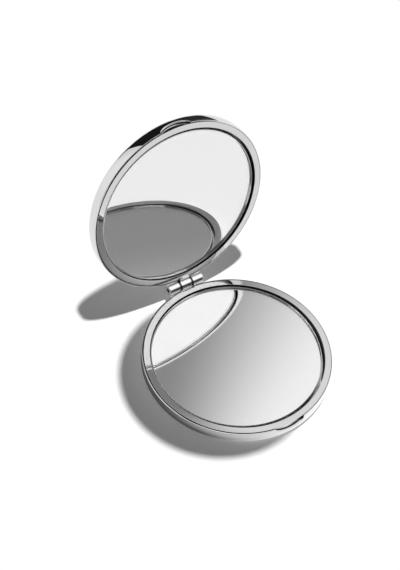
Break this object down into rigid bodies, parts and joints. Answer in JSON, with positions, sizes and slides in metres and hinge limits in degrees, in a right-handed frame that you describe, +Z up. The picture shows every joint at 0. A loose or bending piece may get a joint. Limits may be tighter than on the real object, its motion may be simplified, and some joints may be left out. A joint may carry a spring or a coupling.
{
  "type": "compact mirror",
  "caption": "Round hinged compact mirror in polished metal, standing open, with a glass mirror set in a flat ring in the base and in the lid.",
  "frame": {"origin": "centre of the base's flat resting face", "axes": "+Z up from the resting face, +Y towards the hinge, X along the hinge axis; the thumb scoops face -Y when closed"},
  "size_m": [0.065, 0.084, 0.0705],
  "materials": {
    "polished_shell": "polished, mirror bright",
    "plated_ring": "bright plated",
    "plated_hinge": "bright plated",
    "mirror_glass": "silvered glass with a ground edge",
    "steel_pin": "drawn wire",
    "steel_washer": "stamped",
    "magnet": "nickel plated",
    "foam_pad": "closed-cell foam with adhesive faces",
    "backing_board": "plain board"
  },
  "bodies": {
    "base": {"base_shell": "polished_shell", "base_frame": "plated_ring", "base_mirror": "mirror_glass", "base_mirror_pad": "foam_pad", "base_backing_disc": "backing_board", "base_magnet": "magnet", "base_hinge_leaf": "plated_hinge", "hinge_pin": "steel_pin", "hinge_washer_left": "steel_washer", "hinge_washer_right": "steel_washer"},
    "lid": {"lid_shell": "polished_shell", "lid_frame": "plated_ring", "lid_mirror": "mirror_glass", "lid_mirror_pad": "foam_pad", "lid_backing_disc": "backing_board", "lid_magnet": "magnet", "lid_hinge_leaf": "plated_hinge"}
  },
  "joints": [
    {"name": "lid_hinge", "type": "hinge", "parent": "base", "child": "lid", "pos_m": [0, 0.0343, 0.0053], "axis": [-1, 0, 0], "range_deg": [-100.7, 79.3]}
  ]
}
